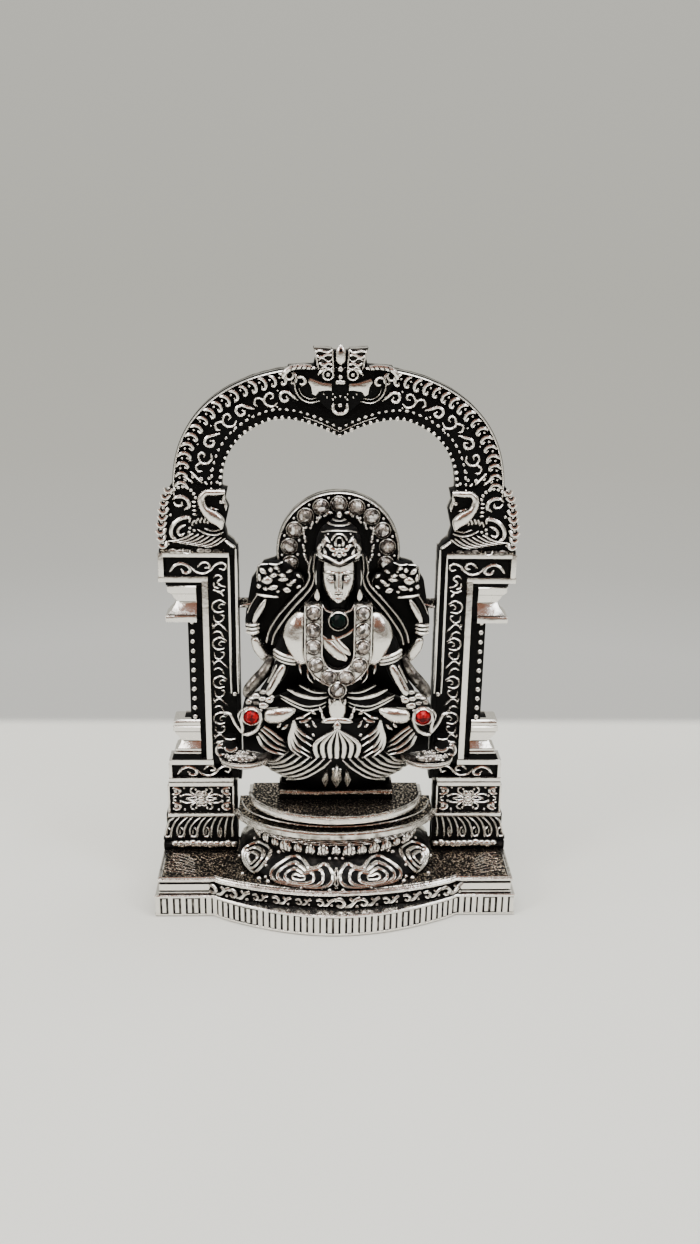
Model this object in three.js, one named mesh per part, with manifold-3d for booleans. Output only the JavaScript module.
import * as THREE from 'three';
import { mergeVertices } from 'three/addons/utils/BufferGeometryUtils.js';
import Module from 'manifold-3d';

const wasm = await Module();
wasm.setup();

// Driving dimensions in millimetres.
// X runs to the right, Y goes back from the front edge of the plinth's wings, Z is up.

// Plinth: two tiers with a bowed front
const PLINTH_WIDTH = 48.7;
const PLINTH_DEPTH = 11.5;
const BOW_WIDTH = 32.8;
const BOW_REACH = 4.8;
const LOWER_TIER = 3.2;
const UPPER_TIER = 2.3;
const WING_SETBACK = 0.4;
const BOW_SETBACK = 1.65;
const REED_PITCH = 0.95;
const REED_DEPTH = 0.2;
const REED_GROOVE = 0.26;
const PLINTH_LIP = 0.45;

// Lotus drum: a round-fronted pedestal with a flat back
const DRUM_HEIGHT = 9.0;
const DRUM_BACK = 11.0;
const DRUM_TOP_WIDTH = 24.0;
const DRUM_TOP_REACH = 7.5;
const DRUM_FOOT_WIDTH = 26.4;
const DRUM_WAIST_WIDTH = 21.0;
const DRUM_RIM = 1.2;
const DRUM_CENTRE = 8.5;
const PETAL_RISE = 0.34;
const FRINGE_LEAVES = 10;
const SIDE_GAP = 0.25;

// Arch frame: two pillars that carry an arch with a mask at its crown
const FRAME_FRONT = 8.5;
const FRAME_THICKNESS = 3.0;
const FOOT_MARGIN = 0.35;
const PANEL_STEP = 0.9;
const PILLAR_INNER = 12.9;
const FOOT_STEP = 0.7;
const LEDGE_HEIGHT = 0.9;
const LEDGE_REACH = 0.5;
const CORNICE_HEIGHT = 0.7;
const COURSE_REACH = 0.2;
const GADROON_HEIGHT = 5.5;
const FLOWER_PANEL = 4.3;
const FILLET = 1.0;
const SCROLL_PANEL = 2.7;
const PILLAR_HEIGHT = 25.7;
const TOP_BLOCK = 3.7;
const SHAFT_INSET = 3.48;
const SLAB_INSET = 0.65;
const STRIP_WIDTH = 0.8;
const SHAFT_WIDTH = 1.78;
const JAMB_LINE = 0.45;
const PANEL_SINK = 0.45;
const PANEL_RIM = 0.5;
const ARCH_INSET = 3.0;
const ARCH_BAND = 6.2;
const ARCH_RISE = 24.0;
const ARCH_BAND_TOP = 5.7;
const CUSP_DROP = 3.05;
const SCROLL_WIRE = 0.3;
const SCROLL_PITCH = 4.4;
const EDGE_BEAD = 0.6;
const EDGE_BEAD_PITCH = 2.4;
const MASK_WIDTH = 15.0;
const MASK_HEIGHT = 9.4;

// Goddess: a seated figure in high relief, with its halo, lotus seat and two offering dishes
const FIGURE_HEIGHT = 42.3;
const FIGURE_BACK = 10.2;
const HALO_RADIUS = 7.95;
const HALO_THICKNESS = 1.5;
const HALO_RIM = 0.94;

// Stones: flat-backed glass, glued on flat seats
const STONE_DIAMETER = 1.9;
const STONE_HEIGHT = 0.75;
const THROAT_STONE_DIAMETER = 2.1;
const HALO_STONES = 11;
const HALO_STONE_STEP = 20.8;
const NECKLACE_STONES = 10;

// Heights and places worked out from them
const PLINTH_TOP = LOWER_TIER + UPPER_TIER;
const DRUM_TOP = PLINTH_TOP + DRUM_HEIGHT;
const FRAME_BACK = FRAME_FRONT + FRAME_THICKNESS;
const FOOT_OUTER = PLINTH_WIDTH / 2 - FOOT_MARGIN;
const FOOT_INNER = PILLAR_INNER + FOOT_STEP;
const PANEL_OUTER = FOOT_OUTER - PANEL_STEP;
const SHAFT_OUTER = PANEL_OUTER - SHAFT_INSET;
const SLAB_OUTER = PANEL_OUTER - SLAB_INSET;
const STRIP_OUTER = SHAFT_OUTER - SHAFT_WIDTH;
const STRIP_INNER = STRIP_OUTER - STRIP_WIDTH;
const ARCH_HALF_WIDTH = FOOT_OUTER - ARCH_INSET;
const FLOWER_BASE = PLINTH_TOP + GADROON_HEIGHT;
const SCROLL_BASE = FLOWER_BASE + FLOWER_PANEL + FILLET;
const PILLAR_BASE = SCROLL_BASE + SCROLL_PANEL;
const BLOCK_BASE = PILLAR_BASE + PILLAR_HEIGHT;
const BLOCK_TOP = BLOCK_BASE + TOP_BLOCK;
const ARCH_TOP = BLOCK_TOP + ARCH_RISE;

const WELD = 0.004;

const silver = { color: 0xb9b8b2, roughness: 0.32, metalness: 1.0 };
const finishes = {
  silver,
  clear: { color: 0xd9d7d0, roughness: 0.08, metalness: 0.1 },
  red: { color: 0xb3101c, roughness: 0.1, metalness: 0.1 },
  dark: { color: 0x10201a, roughness: 0.1, metalness: 0.1 },
};

// A closed mesh becomes a solid: shared corners merged, empty triangles dropped, faces outward.
function solid(geometry) {
  const bare = geometry.clone();
  bare.deleteAttribute('normal');
  bare.deleteAttribute('uv');
  const merged = mergeVertices(bare, 1e-4);
  const corners = merged.attributes.position.array;
  const kept = [];
  let volume = 0;
  for (let i = 0; i < merged.index.count; i += 3) {
    const [a, b, c] = merged.index.array.slice(i, i + 3);
    if (a === b || b === c || c === a) continue;
    kept.push([a, b, c]);
    const [p, q, r] = [a, b, c].map((n) => new THREE.Vector3().fromArray(corners, 3 * n));
    volume += p.dot(q.cross(r));
  }
  const order = volume > 0 ? kept.flat() : kept.flatMap(([a, b, c]) => [a, c, b]);
  const mesh = new wasm.Mesh({
    numProp: 3,
    vertProperties: new Float32Array(corners),
    triVerts: new Uint32Array(order),
  });
  return new wasm.Manifold(mesh);
}

function join(solids) {
  return solids.reduce((sum, piece) => sum.add(piece));
}

// Cuts leave some corners almost on top of each other; these become one corner.
function welded(body) {
  const { vertProperties, triVerts } = body.getMesh();
  const corner = (n) => new THREE.Vector3().fromArray(vertProperties, 3 * n);
  const home = Array.from({ length: vertProperties.length / 3 }, (_, n) => n);
  const find = (n) => (home[n] === n ? n : find(home[n]));
  for (let i = 0; i < triVerts.length; i++) {
    const next = i % 3 === 2 ? i - 2 : i + 1;
    const [a, b] = [find(triVerts[i]), find(triVerts[next])];
    if (a !== b && corner(a).distanceTo(corner(b)) < WELD) home[Math.max(a, b)] = Math.min(a, b);
  }
  const geometry = new THREE.BufferGeometry();
  geometry.setAttribute('position', new THREE.BufferAttribute(vertProperties, 3));
  geometry.setIndex(Array.from(triVerts, find));
  return solid(geometry);
}

function toMesh(name, body, finish) {
  const { vertProperties, triVerts } = welded(body).getMesh();
  const geometry = new THREE.BufferGeometry();
  geometry.setAttribute('position', new THREE.BufferAttribute(vertProperties, 3));
  geometry.setIndex(new THREE.BufferAttribute(triVerts, 1));
  geometry.computeVertexNormals();
  const mesh = new THREE.Mesh(geometry, new THREE.MeshStandardMaterial(finish));
  mesh.name = name;
  return mesh;
}

const at = (x, y, z) => new THREE.Vector3(x, y, z);
const mix = THREE.MathUtils.lerp;

// An upright plate: an outline in X and Z, between a front and a back plane.
function plate(outline, front, back) {
  const shape = new THREE.Shape(outline.map(([x, z]) => new THREE.Vector2(x, z)));
  const geometry = new THREE.ExtrudeGeometry(shape, { depth: back - front, bevelEnabled: false });
  return solid(geometry.rotateX(Math.PI / 2).translate(0, back, 0));
}

// A lying slab: an outline in X and Y, between a lower and an upper plane.
function slab(outline, bottom, top) {
  const shape = new THREE.Shape(outline.map(([x, y]) => new THREE.Vector2(x, y)));
  const geometry = new THREE.ExtrudeGeometry(shape, { depth: top - bottom, bevelEnabled: false });
  return solid(geometry.translate(0, 0, bottom));
}

function block(x0, x1, y0, y1, z0, z1) {
  const geometry = new THREE.BoxGeometry(Math.abs(x1 - x0), y1 - y0, z1 - z0);
  return solid(geometry.translate((x0 + x1) / 2, (y0 + y1) / 2, (z0 + z1) / 2));
}

function ball(centre, rx, ry, rz, around = 8, high = 5) {
  const geometry = new THREE.SphereGeometry(1, around, high).rotateX(Math.PI / 2);
  return solid(geometry.scale(rx, ry, rz).translate(centre.x, centre.y, centre.z));
}

function bead(centre, radius) {
  return solid(new THREE.OctahedronGeometry(radius).translate(centre.x, centre.y, centre.z));
}

// Rings of points joined into a closed skin, with flat ends or as a closed loop.
function skin(rings, loop = false) {
  const sides = rings[0].length;
  const faces = [];
  const steps = loop ? rings.length : rings.length - 1;
  for (let i = 0; i < steps; i++) {
    const next = (i + 1) % rings.length;
    for (let j = 0; j < sides; j++) {
      const side = (j + 1) % sides;
      const [a, b] = [i * sides + j, i * sides + side];
      const [c, d] = [next * sides + side, next * sides + j];
      faces.push(a, b, c, a, c, d);
    }
  }
  const last = (rings.length - 1) * sides;
  for (let j = 1; j < sides - 1 && !loop; j++) {
    faces.push(0, j + 1, j, last, last + j, last + j + 1);
  }
  const geometry = new THREE.BufferGeometry();
  const corners = rings.flat().flatMap((p) => p.toArray());
  geometry.setAttribute('position', new THREE.Float32BufferAttribute(corners, 3));
  geometry.setIndex(faces);
  return solid(geometry);
}

// A limb, wire or leaf along a path, as wide and deep as the size function says from 0 to 1.
function limb(path, size, sides = 6, loop = false) {
  const depthWay = at(0, 1, 0);
  const count = path.length;
  const rings = path.map((centre, i) => {
    const before = path[loop ? (i + count - 1) % count : Math.max(i - 1, 0)];
    const after = path[loop ? (i + 1) % count : Math.min(i + 1, count - 1)];
    const along = after.clone().sub(before).normalize();
    const across = along.clone().cross(depthWay).normalize();
    const deep = across.clone().cross(along).normalize();
    const [wide, thick] = size(i / (count - 1), i);
    return Array.from({ length: sides }, (_, j) => {
      const turn = (2 * Math.PI * j) / sides - Math.PI / 2;
      return centre.clone()
        .addScaledVector(across, wide * Math.cos(turn))
        .addScaledVector(deep, thick * Math.sin(turn));
    });
  });
  return skin(rings, loop);
}

function wire(path, radius, sides = 4, loop = false) {
  return limb(path, () => [radius, radius], sides, loop);
}

function smooth(points, steps) {
  return new THREE.CatmullRomCurve3(points, false, 'centripetal').getPoints(steps);
}

// A pointed leaf or petal: narrow at its foot, full in the middle, sharp at its tip.
function leaf(foot, tip, halfWidth, halfDepth, sides = 4, fullness = [0.3, 1, 0.05]) {
  const path = fullness.map((_, i) => foot.clone().lerp(tip, i / (fullness.length - 1)));
  return limb(path, (_, i) => [halfWidth * fullness[i], halfDepth * fullness[i]], sides);
}

// A scroll that curls in at one end: a spiral of wire on an upright plane.
function scroll(middle, radius, startTurn, sweep, wireRadius, steps = 4) {
  const path = Array.from({ length: steps + 1 }, (_, i) => {
    const share = i / steps;
    const turn = startTurn + sweep * share;
    const reach = radius * (1 - 0.62 * share);
    return middle.clone().add(at(reach * Math.cos(turn), 0, reach * Math.sin(turn)));
  });
  return limb(path, (t) => [wireRadius * (1 - 0.3 * t), wireRadius], 4);
}

// A body with an oval front and a flat back, from stations
// [height, half width, reach, centre, depth of its flutes].
function ovalBody(stations, back, frontPoints = 14) {
  const rings = stations.map(([z, halfWidth, reach, centre, fluteDepth = 0]) => {
    const front = Array.from({ length: frontPoints + 1 }, (_, i) => {
      const turn = (Math.PI * i) / frontPoints;
      const size = i % 2 ? 1 : 1 - fluteDepth;
      return at(-halfWidth * size * Math.cos(turn), centre - reach * size * Math.sin(turn), z);
    });
    return [...front, at(halfWidth, back, z), at(-halfWidth, back, z)];
  });
  return skin(rings);
}

// Plinth

function bowDepth(x) {
  const share = Math.min(Math.abs(x) / (BOW_WIDTH / 2), 1);
  return -BOW_REACH * Math.pow(Math.cos((share * Math.PI) / 2), 0.85);
}

function plinthEdge(wingInset, bowInset, reeded) {
  const half = PLINTH_WIDTH / 2 - wingInset;
  const bowHalf = BOW_WIDTH / 2;
  const wingLength = half - bowHalf;
  const bow = (t) => {
    const x = mix(-bowHalf, bowHalf, t);
    const inset = mix(wingInset, bowInset, Math.sin(Math.PI * t));
    return [x, bowDepth(x) + inset];
  };
  const stretches = [
    { way: (t) => [mix(-half, -bowHalf, t), wingInset], length: wingLength, plainSteps: 1 },
    { way: bow, length: BOW_WIDTH, plainSteps: 10 },
    { way: (t) => [mix(bowHalf, half, t), wingInset], length: wingLength, plainSteps: 1 },
  ];
  const outline = [[-half, PLINTH_DEPTH]];
  for (const { way, length, plainSteps } of stretches) {
    const reeds = Math.round(length / REED_PITCH);
    const steps = reeded ? reeds : plainSteps;
    outline.push(way(0));
    for (let i = 1; i < steps; i++) {
      const share = i / steps;
      if (!reeded) {
        outline.push(way(share));
        continue;
      }
      const lip = REED_GROOVE / 2 / length;
      const [x, y] = way(share);
      outline.push(way(share - lip), [x, y + REED_DEPTH], way(share + lip));
    }
  }
  outline.push([half, wingInset], [half, PLINTH_DEPTH]);
  return outline;
}

function makePlinth() {
  const lower = slab(plinthEdge(0, 0, true), 0, LOWER_TIER - PLINTH_LIP);
  const lip = slab(plinthEdge(0, 0, false), LOWER_TIER - PLINTH_LIP, LOWER_TIER);
  const upperLip = PLINTH_TOP - PLINTH_LIP;
  const sunkEdge = plinthEdge(WING_SETBACK + REED_DEPTH, BOW_SETBACK + REED_DEPTH, false);
  const upper = slab(sunkEdge, LOWER_TIER, upperLip);
  const top = slab(plinthEdge(WING_SETBACK, BOW_SETBACK, false), upperLip, PLINTH_TOP);
  const panels = [-1, 1].map((side) => {
    const outer = side * (PLINTH_WIDTH / 2 - 3 * PLINTH_LIP);
    const inner = side * (BOW_WIDTH / 2 + PLINTH_LIP);
    const [low, high] = [LOWER_TIER + PLINTH_LIP, upperLip - PLINTH_LIP / 2];
    return block(outer, inner, WING_SETBACK, WING_SETBACK + 1, low, high);
  });
  const scrolls = [];
  const runs = 4;
  for (let i = 0; i < runs; i++) {
    const x = mix(-1, 1, (i + 0.5) / runs) * (BOW_WIDTH / 2 - 3);
    const middle = at(x, bowDepth(x) + BOW_SETBACK + REED_DEPTH, (LOWER_TIER + upperLip) / 2);
    scrolls.push(scroll(middle, 0.75, i % 2 ? 0 : Math.PI, i % 2 ? 4.4 : -4.4, 0.25));
  }
  return join([lower, lip, upper, top, ...panels, ...scrolls]);
}

// Lotus drum

const drumStations = () => {
  const [top, foot, waist] = [DRUM_TOP_WIDTH / 2, DRUM_FOOT_WIDTH / 2, DRUM_WAIST_WIDTH / 2];
  const share = (s) => PLINTH_TOP + DRUM_HEIGHT * s;
  const rim = DRUM_TOP - DRUM_RIM;
  return [
    [PLINTH_TOP, foot - 0.5, 8.6, 6.6],
    [share(0.08), foot, 8.9, 6.6],
    [share(0.27), foot - 0.9, 7.9, 7.0],
    [share(0.36), waist, 6.9, 7.7],
    [share(0.5), waist + 0.1, 6.7, 7.9],
    [share(0.69), top + 1.2, 7.9, 8.2],
    [share(0.7), top + 2.0, 8.3, DRUM_CENTRE],
    [share(0.78), top + 2.0, 8.3, DRUM_CENTRE],
    [share(0.785), top - 1.0, DRUM_TOP_REACH - 0.9, DRUM_CENTRE],
    [rim, top - 1.0, DRUM_TOP_REACH - 0.9, DRUM_CENTRE],
    [rim + 0.01, top, DRUM_TOP_REACH, DRUM_CENTRE],
    [DRUM_TOP, top, DRUM_TOP_REACH, DRUM_CENTRE],
  ];
};

// A point on the drum's face, by its height share and its turn from the left side to the right.
function onDrum(heightShare, turn, proud) {
  const stations = drumStations();
  const z = PLINTH_TOP + DRUM_HEIGHT * heightShare;
  const above = Math.max(1, stations.findIndex((station) => station[0] >= z));
  const [low, high] = [stations[above - 1], stations[above]];
  const share = (z - low[0]) / (high[0] - low[0]);
  const [, halfWidth, reach, centre] = low.map((value, i) => mix(value, high[i], share));
  const away = [Math.cos(turn) / halfWidth, Math.sin(turn) / reach];
  const length = Math.hypot(...away);
  return at(
    -halfWidth * Math.cos(turn) - (proud * away[0]) / length,
    centre - reach * Math.sin(turn) - (proud * away[1]) / length,
    z,
  );
}

// A heart-shaped petal that stands proud of the drum, with its point down.
function heartPetal(middleTurn, halfTurn, low, high) {
  const corners = 8;
  const outline = (scale, proud) => Array.from({ length: corners }, (_, i) => {
    const angle = (2 * Math.PI * i) / corners;
    const across = scale * Math.sin(angle) ** 3;
    const up = (scale * (13 * Math.cos(angle) - 5 * Math.cos(2 * angle) - 2 * Math.cos(3 * angle))) / 17;
    return onDrum(mix(low, high, (1 + up) / 2), middleTurn + halfTurn * across, proud);
  });
  return skin([outline(1, -PETAL_RISE), outline(1, PETAL_RISE), outline(0.55, 1.4 * PETAL_RISE)]);
}

function makeDrum() {
  const body = ovalBody(drumStations(), DRUM_BACK);
  const ridges = [];
  for (const turn of [0.14, 0.37, 0.63, 0.86]) {
    ridges.push(heartPetal(turn * Math.PI, 0.33, 0.03, 0.33));
  }
  for (let i = 0; i < FRINGE_LEAVES; i++) {
    const turn = (Math.PI * (i + 0.5)) / FRINGE_LEAVES;
    ridges.push(bead(onDrum(0.45, turn, 0), 0.62));
  }
  const cheeks = [-1, 1].map((side) => block(
    side * (FOOT_INNER - SIDE_GAP), side * PLINTH_WIDTH,
    FRAME_FRONT - SIDE_GAP - 1.2, FRAME_BACK, PLINTH_TOP, DRUM_TOP + 1,
  ));
  const flush = block(-PLINTH_WIDTH, PLINTH_WIDTH, -2 * BOW_REACH, FRAME_BACK, -1, PLINTH_TOP);
  return join([body, ...ridges]).subtract(join([...cheeks, flush]));
}

// Arch frame

function superOval(halfWidth, rise, power, base, count) {
  return Array.from({ length: count + 1 }, (_, i) => {
    const turn = (Math.PI / 2) * (1 - i / count);
    const x = halfWidth * Math.pow(Math.sin(turn), 2 / power);
    const z = base + rise * Math.pow(Math.cos(turn), 2 / power);
    return [x, z];
  });
}

const ARCH_SPRING = BLOCK_TOP + 0.32 * ARCH_RISE;
const outerArch = (inset, count) => superOval(ARCH_HALF_WIDTH - inset, ARCH_TOP - ARCH_SPRING - inset,
  2.4, ARCH_SPRING, count);
const innerArch = (outset, count) => superOval(ARCH_HALF_WIDTH - ARCH_BAND + outset,
  ARCH_TOP - ARCH_SPRING - ARCH_BAND_TOP + outset, 2.6, ARCH_SPRING, count).map(([x, z]) => {
  const reach = 0.6 * (ARCH_HALF_WIDTH - ARCH_BAND);
  return [x, z - CUSP_DROP * Math.pow(Math.max(0, 1 - x / reach), 1.5)];
});

const bothSides = (half) => [
  ...half,
  ...half.slice().reverse().filter(([x]) => x > 1e-6).map(([x, z]) => [-x, z]),
];

function archBand() {
  const outer = [[ARCH_HALF_WIDTH - 0.4, BLOCK_TOP], ...outerArch(0, 13)];
  const inner = [[ARCH_HALF_WIDTH - ARCH_BAND, BLOCK_TOP], ...innerArch(0, 14)];
  return plate([...bothSides(outer), ...bothSides(inner).reverse()], FRAME_FRONT + PANEL_SINK, FRAME_BACK);
}

// Evenly spaced places along a polyline in X and Z.
function spaced(points, pitch) {
  const places = [];
  let carried = pitch / 2;
  for (let i = 1; i < points.length; i++) {
    const [x0, z0] = points[i - 1];
    const [x1, z1] = points[i];
    const length = Math.hypot(x1 - x0, z1 - z0);
    for (; carried <= length; carried += pitch) {
      places.push([mix(x0, x1, carried / length), mix(z0, z1, carried / length)]);
    }
    carried -= length;
  }
  return places;
}

function archCarving(side) {
  const face = FRAME_FRONT + PANEL_SINK;
  const pieces = [];
  const clear = ([, z]) => z > ARCH_SPRING + 2.8;
  const innerLine = innerArch(0.72, 10);
  for (const [x, z] of spaced(innerLine, EDGE_BEAD_PITCH).filter(clear)) {
    pieces.push(bead(at(side * x, face, z), EDGE_BEAD));
  }
  const middle = outerArch(ARCH_BAND / 2, 10).map(([x, z], i) => {
    const [ix, iz] = innerArch(ARCH_BAND / 2, 10)[i];
    return [(x + ix) / 2, (z + iz) / 2];
  });
  spaced(middle, SCROLL_PITCH).filter(clear).forEach(([x, z], i) => {
    if (x < MASK_WIDTH / 2) return;
    const way = Math.atan2(z - ARCH_SPRING + 4, x);
    const start = side > 0 ? way : Math.PI - way;
    const sweep = side * (i % 2 ? 4.8 : -4.8);
    pieces.push(scroll(at(side * x, face, z), 1.25, start, sweep, SCROLL_WIRE));
  });
  return pieces;
}

// A sunk panel: a block with a raised rim round a lower field.
function sunkPanel(x0, x1, z0, z1) {
  const [low, high] = [Math.min(x0, x1), Math.max(x0, x1)];
  const whole = block(low, high, FRAME_FRONT, FRAME_BACK, z0, z1);
  const field = block(low + PANEL_RIM, high - PANEL_RIM, FRAME_FRONT - 1, FRAME_FRONT + PANEL_SINK,
    z0 + PANEL_RIM, z1 - PANEL_RIM);
  return whole.subtract(field);
}

function flower(side) {
  const x = side * (PANEL_OUTER + FOOT_INNER) / 2;
  const middle = at(x, FRAME_FRONT + PANEL_SINK, FLOWER_BASE + FLOWER_PANEL / 2);
  const [wide, tall] = [(PANEL_OUTER - FOOT_INNER) / 2 - PANEL_RIM, FLOWER_PANEL / 2 - PANEL_RIM];
  const petals = [[0.85, 0], [0, 1], [-0.85, 0], [0, -1]];
  return petals.map(([across, up]) => {
    const tip = middle.clone().add(at(across * wide, 0, up * tall));
    return leaf(middle, tip, 0.6, 0.4);
  });
}

function gadroons(side) {
  const count = 5;
  const low = PLINTH_TOP + LEDGE_HEIGHT + 0.2;
  const high = FLOWER_BASE - CORNICE_HEIGHT - 0.1;
  return Array.from({ length: count }, (_, i) => {
    const x = side * mix(FOOT_INNER + 0.6, FOOT_OUTER - 0.9, i / (count - 1));
    const path = [
      at(x + side * 0.45, FRAME_FRONT + 0.25, low),
      at(x - side * 0.4, FRAME_FRONT + 0.05, high),
    ];
    return wire(path, 0.5);
  });
}

function vine(side) {
  const low = PILLAR_BASE + 1.4;
  const high = BLOCK_BASE - 1.4;
  const x = side * (PILLAR_INNER + JAMB_LINE + STRIP_INNER) / 2;
  const count = 5;
  return Array.from({ length: count }, (_, i) => {
    const z = mix(low, high, i / (count - 1));
    const turned = i % 2 ? 1 : -1;
    const start = turned > 0 ? 0.4 : Math.PI - 0.4;
    return scroll(at(x, FRAME_FRONT + PANEL_SINK, z), 1.0, start, turned * 4.0, 0.36, 3);
  });
}

// The outline of the colonnette with its stepped base and capital, from the strip outwards.
function colonnetteOutline(side) {
  const height = BLOCK_BASE - PILLAR_BASE;
  const shares = [
    [0, PANEL_OUTER - 1.4], [0.03, PANEL_OUTER - 1.9], [0.085, SLAB_OUTER - 1.0], [0.1, SHAFT_OUTER + 1.9],
    [0.17, SHAFT_OUTER + 1.3], [0.18, SLAB_OUTER], [0.235, SLAB_OUTER], [0.24, SHAFT_OUTER + 1.6],
    [0.275, SHAFT_OUTER + 1.6], [0.28, SHAFT_OUTER], [0.7, SHAFT_OUTER], [0.705, SHAFT_OUTER + 2.0],
    [0.745, SLAB_OUTER], [0.775, SLAB_OUTER], [0.78, SHAFT_OUTER + 1.3], [0.84, SHAFT_OUTER + 1.6],
    [0.845, SLAB_OUTER], [0.895, SLAB_OUTER], [0.9, SHAFT_OUTER + 1.7], [0.94, SHAFT_OUTER + 1.9],
    [0.945, PANEL_OUTER - 1.2], [1, PANEL_OUTER],
  ];
  const inner = side * (STRIP_INNER + STRIP_WIDTH / 2);
  return [
    [inner, PILLAR_BASE],
    ...shares.map(([share, x]) => [side * x, PILLAR_BASE + height * share]),
    [inner, BLOCK_BASE],
  ];
}

function pillar(side) {
  const field = FRAME_FRONT + PANEL_SINK;
  const height = BLOCK_BASE - PILLAR_BASE;
  // A block from the frame's back to a face that stands proud of its front by a little.
  const course = (inner, outer, proud, low, high) => (
    block(side * inner, side * outer, FRAME_FRONT - proud, FRAME_BACK, low, high));
  const pieces = [
    course(FOOT_INNER, FOOT_OUTER - LEDGE_REACH, -COURSE_REACH, PLINTH_TOP, FLOWER_BASE - CORNICE_HEIGHT),
    course(FOOT_INNER, FOOT_OUTER, LEDGE_REACH, PLINTH_TOP, PLINTH_TOP + LEDGE_HEIGHT),
    course(FOOT_INNER, PANEL_OUTER + COURSE_REACH, COURSE_REACH, FLOWER_BASE - CORNICE_HEIGHT, FLOWER_BASE),
    sunkPanel(side * FOOT_INNER, side * PANEL_OUTER, FLOWER_BASE, FLOWER_BASE + FLOWER_PANEL),
    course(FOOT_INNER, PANEL_OUTER + COURSE_REACH, COURSE_REACH, SCROLL_BASE - FILLET, SCROLL_BASE),
    sunkPanel(side * FOOT_INNER, side * PANEL_OUTER, SCROLL_BASE, PILLAR_BASE),
    course(PILLAR_INNER, STRIP_OUTER, -PANEL_SINK, SCROLL_BASE, BLOCK_BASE),
    course(PILLAR_INNER, PILLAR_INNER + JAMB_LINE, 0, SCROLL_BASE, BLOCK_BASE),
    course(STRIP_INNER, STRIP_OUTER, COURSE_REACH, PILLAR_BASE, BLOCK_BASE),
    plate(colonnetteOutline(side), field, FRAME_BACK),
    sunkPanel(side * PILLAR_INNER, side * PANEL_OUTER, BLOCK_BASE, BLOCK_TOP),
  ];
  for (const [share, tall] of [[0.18, 0.055], [0.745, 0.03], [0.845, 0.05]]) {
    const z = PILLAR_BASE + height * share;
    pieces.push(course(STRIP_OUTER, SLAB_OUTER, COURSE_REACH / 2, z, z + height * tall));
  }
  for (const z of [SCROLL_BASE + SCROLL_PANEL / 2, BLOCK_BASE + TOP_BLOCK / 2]) {
    const middle = at(side * (FOOT_INNER + PANEL_OUTER) / 2, field, z);
    pieces.push(scroll(middle, 1.15, Math.PI * 0.9, -4.9, 0.3));
  }
  return [...pieces, ...flower(side), ...gadroons(side), ...vine(side)];
}

function peacock(side) {
  const base = BLOCK_TOP;
  const tall = ARCH_SPRING - BLOCK_TOP + 2;
  const across = (share) => side * mix(PILLAR_INNER, FOOT_OUTER, share);
  const point = (x, z) => at(across(x), FRAME_FRONT + 0.3, base + tall * z);
  const body = [
    [0, 0], [0.036, 0.14], [0.144, 0.3], [0.108, 0.8], [0.198, 0.95],
    [0.748, 0.95], [0.865, 0.72], [0.905, 0.45], [0.874, 0.2], [0.9, 0],
  ].map(([x, z]) => [across(x), base + tall * z]);
  const neck = smooth([
    point(0.1, 0.82), point(0.225, 0.87), point(0.37, 0.78), point(0.37, 0.6),
    point(0.243, 0.52), point(0.153, 0.42), point(0.216, 0.25),
  ], 5);
  return [
    plate(body, FRAME_FRONT + PANEL_SINK, FRAME_BACK),
    limb(neck, (t) => [mix(0.38, 0.85, Math.sin(Math.PI * Math.min(1, t + 0.05))), 0.6], 4),
    scroll(point(0.604, 0.72), 1.9, 0, side * 5.6, 0.5, 5),
    scroll(point(0.622, 0.33), 1.6, Math.PI / 2, -side * 4.4, 0.42),
    leaf(point(0.243, 0.24), point(0.333, 0.02), 0.6, 0.5),
    leaf(point(0.721, 0.3), point(0.9, 0.38), 0.7, 0.5),
  ];
}

function mask() {
  const u = MASK_WIDTH / 15;
  const v = MASK_HEIGHT / 9.4;
  const chin = ARCH_TOP - 6.9 * v;
  const y = FRAME_FRONT + 0.2;
  const point = (x, z, lift = 0) => at(x * u, y - lift, chin + z * v);
  const field = [
    [2.8, 8.9], [4.2, 7.4], [4.4, 5.6], [7.2, 5.2], [7.0, 4.2], [5.2, 3.2], [3.4, 1.6], [1.2, 0],
  ].map(([x, z]) => [x * u, chin + z * v]);
  const pieces = [
    plate([...field, ...field.slice().reverse().map(([x, z]) => [-x, z])], y + 0.2, FRAME_BACK),
    leaf(point(0, 5.6), point(0, 9.4), 0.95 * u, 0.9, 4, [0.5, 1, 0.8]),
    limb([point(0, 5.4), point(0, 3.4, 0.4)], (t) => [mix(0.35, 1.1, t), 0.8], 4),
    limb([point(0, 2.8, 0.2), point(0, 0.2)], (t) => [mix(1.0, 0.5, t), 0.8], 4),
  ];
  for (const side of [-1, 1]) {
    pieces.push(limb([point(side * 1.5, 6.0), point(side * 3.3, 8.9)], (t) => [mix(0.7, 1.0, t), 0.7], 4));
    pieces.push(bead(point(side * 1.6, 5.1, 0.2), 0.95 * u));
    pieces.push(limb([point(side * 0.9, 3.7), point(side * 3.0, 3.9, 0.2), point(side * 4.4, 3.4)],
      (t) => [mix(0.45, 0.65, t), 0.7], 4));
    const ear = point(side * 5.6, 4.9);
    const cheek = point(side * 3.6, 2.5);
    pieces.push(scroll(ear, 1.35 * u, side > 0 ? Math.PI : 0, -side * 4.4, 0.5, 3));
    pieces.push(scroll(cheek, 1.2 * u, side > 0 ? 2.2 : 0.9, side * 3.0, 0.4, 2));
  }
  return pieces;
}

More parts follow.
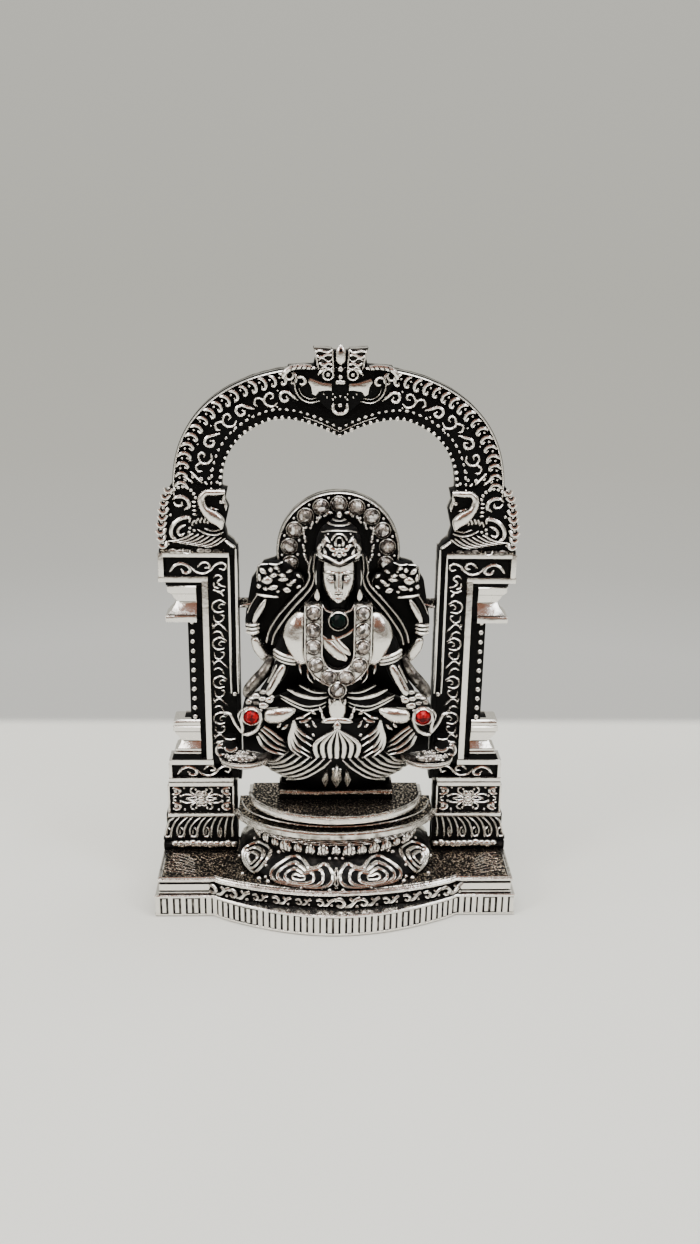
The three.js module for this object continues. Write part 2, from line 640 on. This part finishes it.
function makeFrame() {
  const pieces = [archBand(), ...mask()];
  for (const side of [-1, 1]) pieces.push(...pillar(side), ...archCarving(side), ...peacock(side));
  const clear = block(-PLINTH_WIDTH, PLINTH_WIDTH, -2 * BOW_REACH, 2 * FRAME_BACK, -1, PLINTH_TOP);
  const behind = block(-PLINTH_WIDTH, PLINTH_WIDTH, FRAME_BACK, 2 * FRAME_BACK, -1, 2 * ARCH_TOP);
  return join(pieces).subtract(join([clear, behind]));
}

// Goddess

// The pose is drawn 42.3 units tall and takes its size from the figure's height.
const unit = FIGURE_HEIGHT / 42.3;
const pose = (x, forward, z) => at(x * unit, FIGURE_BACK - forward * unit, DRUM_TOP + z * unit);
const CHEST_SEAT = FIGURE_BACK - 6.2 * unit;
const PALM_SEAT = FIGURE_BACK - 7.3 * unit;
const HALO_FRONT = FIGURE_BACK - HALO_THICKNESS;
const HALO_CENTRE = DRUM_TOP + FIGURE_HEIGHT - HALO_RADIUS;
const PALM = [11.15 * unit, DRUM_TOP + 13.8 * unit];
const necklaceHalf = 3.15 * unit;
const necklaceTop = DRUM_TOP + 27.6 * unit;
const necklaceBend = DRUM_TOP + 22.2 * unit;
const NECKLACE_SAG = 1.125;
const THROAT = DRUM_TOP + 26.6 * unit;
const PENDANT = DRUM_TOP + 17.1 * unit;

function haloPlate() {
  const corners = 18;
  const low = DRUM_TOP + 29.5 * unit;
  const round = Array.from({ length: corners + 1 }, (_, i) => {
    const turn = -0.25 + ((Math.PI + 0.5) * i) / corners;
    return [HALO_RADIUS * Math.cos(turn), HALO_CENTRE + HALO_RADIUS * Math.sin(turn)];
  });
  return [
    plate([...round, [-HALO_RADIUS + 0.4, low], [HALO_RADIUS - 0.4, low]], HALO_FRONT, FIGURE_BACK),
    plate([...round, ...round.slice().reverse().map(([x, z]) => (
      [x * HALO_RIM, HALO_CENTRE + (z - HALO_CENTRE) * HALO_RIM]))], HALO_FRONT - 0.3, HALO_FRONT + 0.3),
  ];
}

function backPlate() {
  const half = [
    [6.5, 34.5], [9.6, 33.2], [11.2, 30.5], [12.0, 26.0], [12.1, 24.0], [10.2, 20.6], [8.0, 19.4],
    [7.0, 17.4], [9.6, 14.6], [10.4, 11.0], [10.6, 6.0], [7.6, 3.2], [7.4, 1.0],
  ].map(([x, z]) => [x * unit, DRUM_TOP + z * unit]);
  const mirrored = half.slice().reverse().map(([x, z]) => [-x, z]);
  return plate([...half, ...mirrored], HALO_FRONT + 0.15 * unit, FIGURE_BACK);
}

// The seat's stations, from the ledge up: height, half width, how far forward its front is, flute depth.
const seatStations = [
  [1.0, 6.8, 2.9, 0], [2.6, 7.6, 3.7, 0.16], [4.6, 10.1, 5.4, 0.1], [6.8, 10.5, 6.4, 0.1],
  [8.0, 9.0, 5.8, 0], [12.4, 9.6, 5.9, 0],
];
const SEAT_CORE = 0.6;

// A point on the seat's front, as far to the side as x and at height z, and a little proud of it.
function onSeat(x, z, proud) {
  const above = Math.max(1, seatStations.findIndex(([height]) => height >= z));
  const [low, high] = [seatStations[above - 1], seatStations[above]];
  const share = (z - low[0]) / (high[0] - low[0]);
  const halfWidth = mix(low[1], high[1], share);
  const reach = mix(low[2], high[2], share);
  const swell = Math.sqrt(Math.max(0, 1 - (x / halfWidth) ** 2));
  return pose(x, SEAT_CORE + reach * swell + proud, z);
}

function lotusSeat() {
  const core = FIGURE_BACK - SEAT_CORE * unit;
  const stations = seatStations.map(([z, halfWidth, reach, fluteDepth]) => (
    [DRUM_TOP + z * unit, halfWidth * unit, reach * unit, core, fluteDepth]));
  const pieces = [ovalBody(stations, FIGURE_BACK - 0.05 * unit, 16)];
  for (let i = -2; i <= 2; i++) {
    const width = [3.0, 1.9, 1.7][Math.abs(i)];
    const foot = onSeat(i * 3.3, 7.6 + 0.2 * Math.abs(i), 0.1);
    const tip = onSeat(i * 4.4, 12.3 - 0.2 * Math.abs(i), 0.1);
    pieces.push(leaf(foot, tip, width * unit, 1.4 * unit));
  }
  pieces.push(leaf(onSeat(0, 5.8, 0.2), onSeat(0, 1.9, 0.4), 0.8 * unit, 0.8 * unit));
  const ledge = 7.8 * unit;
  pieces.push(block(-ledge, ledge, FIGURE_BACK - 4.4 * unit, FIGURE_BACK, DRUM_TOP, DRUM_TOP + 1.3 * unit));
  return pieces;
}

// A limb drawn from stations [out to the side, forward, height, half width, half depth].
function limbFrom(stations, side, sides) {
  const path = stations.map(([x, forward, z]) => pose(side * x, forward, z));
  return limb(path, (_, i) => [stations[i][3] * unit, stations[i][4] * unit], sides);
}

const thigh = [
  [1.5, 3.6, 15.2, 2.2, 2.2], [5.5, 4.4, 14.6, 2.05, 1.8], [9.0, 4.6, 13.6, 1.65, 1.45],
  [10.2, 4.3, 12.9, 1.0, 1.1],
];
const shin = [[9.4, 5.0, 12.8, 1.3, 1.1], [5.5, 5.9, 12.2, 1.1, 1.0], [1.2, 6.2, 11.9, 0.9, 0.9]];
const foot = [[5.8, 5.7, 13.4, 0.75, 0.8], [7.4, 6.0, 13.6, 1.15, 0.8], [9.4, 5.6, 13.1, 0.75, 0.8]];

function skirtFolds(side) {
  const count = 3;
  return Array.from({ length: count }, (_, i) => {
    const path = [
      pose(side * (4.8 + 1.25 * i), 4.1 + 0.3 * i, 17.6 - 0.75 * i),
      pose(side * (3.3 + 0.75 * i), 5.0 + 0.3 * i, 16.6 - 0.95 * i),
      pose(side * (1.8 + 0.3 * i), 5.3 + 0.2 * i, 16.1 - 0.85 * i),
    ];
    return wire(path, 0.45 * unit);
  });
}

// The trunk, neck, face and crown: height, half width, half depth and how far forward each level is.
const bodyLevels = [
  [14, 4.6, 2.6, 2.9], [17.5, 3.8, 2.4, 2.9], [20, 3.9, 2.4, 2.9], [24.2, 5.0, 2.9, 2.9], [27, 4.4, 2.3, 2.9],
  [28.2, 1.7, 1.5, 2.9], [28.9, 1.1, 1.6, 4.0], [29.8, 1.75, 2.0, 4.0], [31.2, 2.25, 2.2, 4.0],
  [33.0, 2.35, 2.15, 3.9], [33.3, 2.9, 2.6, 3.7], [35.8, 3.05, 2.7, 3.6], [36.6, 2.3, 2.1, 3.6],
  [36.8, 1.5, 1.4, 3.6], [37.8, 1.3, 1.2, 3.6], [39.2, 0.2, 0.2, 3.6],
];

function trunkAndHead() {
  const path = bodyLevels.map(([z, , , forward]) => pose(0, forward, z));
  const pieces = [
    skin(path.map((centre, i) => Array.from({ length: 8 }, (_, j) => {
      const turn = (Math.PI * j) / 4;
      const [, wide, deep] = bodyLevels[i];
      return centre.clone().add(at(wide * unit * Math.cos(turn), deep * unit * Math.sin(turn), 0));
    }))),
    limb([pose(0, 5.9, 32.7), pose(0, 6.3, 31.0)], (t) => [mix(0.22, 0.42, t) * unit, 0.4 * unit], 4),
    leaf(pose(0, 5.9, 33.4), pose(0, 6.0, 36.6), 1.2 * unit, 0.7 * unit),
    limb([pose(1.9, 5.1, 25.4), pose(-1.4, 5.1, 21.4)], () => [1.0 * unit, 0.9 * unit], 4),
  ];
  for (const side of [-1, 1]) {
    pieces.push(ball(pose(side * 2.4, 4.6, 23.4), 1.7 * unit, 1.3 * unit, 1.7 * unit, 6, 4));
    pieces.push(leaf(pose(side * 1.9, 3.6, 31.6), pose(side * 2.6, 3.3, 28.8), 0.6 * unit, 0.9 * unit));
  }
  return pieces;
}

function veil(side) {
  const route = [
    pose(side * 3.1, 2.9, 32.6), pose(side * 3.2, 3.2, 31.2), pose(side * 4.3, 3.3, 29.4),
    pose(side * 6.3, 3.1, 27.4), pose(side * 8.2, 2.6, 25.2), pose(side * 9.0, 2.2, 22.4),
  ];
  const sheet = [
    ...route.map((p) => [p.x, p.z]), [side * 6.0 * unit, DRUM_TOP + 20.5 * unit], [0, DRUM_TOP + 24 * unit],
    [0, DRUM_TOP + 32.6 * unit],
  ];
  return [
    plate(sheet, FIGURE_BACK - 2.3 * unit, FIGURE_BACK - 1.0 * unit),
    wire(route, 0.36 * unit),
  ];
}

// The raised arm comes from behind the shoulder and holds up a lotus.
const raisedArm = [
  [7.4, 1.9, 20.4, 1.2, 1.2], [10.4, 2.1, 22.2, 1.2, 1.2], [11.1, 2.3, 23.3, 1.1, 1.2],
  [11.5, 2.3, 23.7, 1.45, 1.4], [11.8, 2.3, 24.8, 1.35, 1.4], [11.5, 2.4, 25.3, 1.0, 1.1],
  [10.0, 2.9, 29.3, 0.85, 0.9], [9.4, 3.0, 30.2, 1.9, 1.2], [8.9, 3.1, 31.8, 1.7, 1.3],
  [8.6, 3.1, 33.0, 0.5, 0.5],
];

// The lowered arm is sleeved to the armlet and ends in an open palm with its fingers down.
const loweredArm = [
  [4.4, 3.6, 26.4, 1.9, 1.8], [5.8, 4.0, 24.8, 2.1, 1.9], [6.6, 4.5, 22.2, 1.6, 1.5],
  [6.5, 4.6, 21.9, 2.2, 1.7], [6.8, 4.8, 20.8, 2.0, 1.6], [7.0, 4.9, 20.5, 1.3, 1.2],
  [9.5, 6.0, 17.2, 0.95, 0.9], [9.8, 6.2, 16.9, 1.55, 1.1], [10.6, 6.4, 15.7, 1.45, 1.0],
  [10.8, 6.4, 15.3, 1.0, 0.85], [11.2, 6.4, 13.6, 1.45, 0.85], [11.9, 6.4, 11.2, 0.5, 0.6],
];

function arms(side) {
  const seat = new THREE.CylinderGeometry(1.35 * unit, 1.35 * unit, 1.2 * unit, 8);
  return [
    limbFrom(raisedArm, side, 4),
    limbFrom(loweredArm, side, 5),
    wire([
      pose(side * 11.6, 6.0, 14.2), pose(side * 13.3, 5.2, 13.6), pose(side * 13.7, 4.4, 8.9),
    ], 0.4 * unit),
    solid(seat.translate(side * PALM[0], PALM_SEAT + 0.6 * unit, PALM[1])),
  ];
}

const pot = [
  [14.2, 4.2, 6.5, 0.5, 0.8], [14.2, 4.2, 7.9, 0.45, 0.8], [14.2, 4.2, 8.8, 1.05, 0.8],
  [14.2, 4.2, 9.4, 1.0, 0.8],
];
const dishStem = [[8.8, 3.2, 6.2, 0.8, 0.8], [11.6, 4.3, 5.9, 0.8, 0.8]];

function dish(side) {
  const profile = [[0, -1.2], [1.2, -1.2], [3.2, 0], [3.2, 0.35], [2.2, 0.4], [1.3, 1.4], [0, 1.5]]
    .map(([radius, z]) => new THREE.Vector2(radius * unit, z * unit));
  const middle = pose(side * 12.9, 4.7, 6.3);
  const bowl = new THREE.LatheGeometry(profile, 8).rotateX(Math.PI / 2).scale(1, 0.62, 1);
  return [
    solid(bowl.translate(middle.x, middle.y, middle.z)),
    limbFrom(pot, side, 4),
    limbFrom(dishStem, side, 4),
  ];
}

function strut(side) {
  const [front, back] = [FIGURE_BACK - 1.5 * unit, FIGURE_BACK - 0.4 * unit];
  const low = DRUM_TOP + 26.6 * unit;
  return block(side * 10.4 * unit, side * PILLAR_INNER, front, back, low, low + 1.2 * unit);
}

// Where the necklace's stones sit: down one side, round the bottom and up the other.
function necklacePlaces() {
  const straight = necklaceTop - necklaceBend;
  const bend = Math.PI * necklaceHalf;
  const total = 2 * straight + bend;
  return Array.from({ length: NECKLACE_STONES }, (_, i) => {
    const run = (total * i) / (NECKLACE_STONES - 1);
    if (run < straight) return [-necklaceHalf, necklaceTop - run];
    if (run > straight + bend) return [necklaceHalf, necklaceBend + run - straight - bend];
    const turn = Math.PI + (run - straight) / necklaceHalf;
    return [necklaceHalf * Math.cos(turn), necklaceBend + NECKLACE_SAG * necklaceHalf * Math.sin(turn)];
  });
}

function jewelSeats() {
  const half = STONE_DIAMETER / 2 + 0.25;
  const ring = (reach, drop) => {
    const bend = Array.from({ length: 9 }, (_, i) => {
      const turn = Math.PI + (Math.PI * i) / 8;
      return [reach * Math.cos(turn), necklaceBend + (NECKLACE_SAG * necklaceHalf + drop) * Math.sin(turn)];
    });
    return [[-reach, necklaceTop + half], ...bend, [reach, necklaceTop + half]];
  };
  const band = [...ring(necklaceHalf + half, half), ...ring(necklaceHalf - half, -half).reverse()];
  const seat = (z, radius) => solid(new THREE.CylinderGeometry(radius, radius, 1.8, 8)
    .translate(0, CHEST_SEAT + 0.9, z));
  return [
    plate(band, CHEST_SEAT, CHEST_SEAT + 1.6),
    seat(THROAT, THROAT_STONE_DIAMETER / 2 + 0.15),
    seat(PENDANT, STONE_DIAMETER / 2 + 0.3),
  ];
}

function makeGoddess() {
  const pieces = [
    backPlate(), ...haloPlate(), ...lotusSeat(), ...trunkAndHead(), ...jewelSeats(),
  ];
  for (const side of [-1, 1]) {
    pieces.push(limbFrom(thigh, side, 6), limbFrom(shin, side, 5), limbFrom(foot, side, 5));
    pieces.push(...skirtFolds(side), ...veil(side), ...arms(side), ...dish(side), strut(side));
  }
  const behind = block(-PLINTH_WIDTH, PLINTH_WIDTH, FIGURE_BACK, 2 * FRAME_BACK, -1, 2 * ARCH_TOP);
  return join(pieces).subtract(behind);
}

// Stones

function stone(name, diameter, x, seat, z, finish) {
  const radius = diameter / 2;
  const profile = [[0, 0], [radius, 0], [radius * 0.55, STONE_HEIGHT], [0, STONE_HEIGHT]]
    .map(([r, height]) => new THREE.Vector2(r, height));
  const cut = new THREE.LatheGeometry(profile, 6).rotateX(Math.PI).translate(0, seat, 0);
  const mesh = toMesh(name, solid(cut), finish);
  mesh.position.set(x, 0, z);
  return mesh;
}

const figure = new THREE.Group();
figure.position.y = (BOW_REACH - PLINTH_DEPTH) / 2;
figure.add(toMesh('plinth', makePlinth(), finishes.silver));
figure.add(toMesh('lotus_drum', makeDrum(), finishes.silver));
figure.add(toMesh('arch_frame', makeFrame(), finishes.silver));
figure.add(toMesh('goddess', makeGoddess(), finishes.silver));

for (let i = 0; i < HALO_STONES; i++) {
  const turn = THREE.MathUtils.degToRad((i - (HALO_STONES - 1) / 2) * HALO_STONE_STEP);
  const reach = HALO_RADIUS - STONE_DIAMETER / 2 - 0.65;
  const [x, z] = [reach * Math.sin(turn), HALO_CENTRE + reach * Math.cos(turn)];
  figure.add(stone(`halo_stone_${i + 1}`, STONE_DIAMETER, x, HALO_FRONT, z, finishes.clear));
}
necklacePlaces().forEach(([x, z], i) => {
  figure.add(stone(`necklace_stone_${i + 1}`, STONE_DIAMETER, x, CHEST_SEAT, z, finishes.clear));
});
figure.add(stone('pendant_stone', STONE_DIAMETER, 0, CHEST_SEAT, PENDANT, finishes.clear));
figure.add(stone('throat_stone', THROAT_STONE_DIAMETER, 0, CHEST_SEAT, THROAT, finishes.dark));
figure.add(stone('palm_stone_left', STONE_DIAMETER, -PALM[0], PALM_SEAT, PALM[1], finishes.red));
figure.add(stone('palm_stone_right', STONE_DIAMETER, PALM[0], PALM_SEAT, PALM[1], finishes.red));

export default figure;
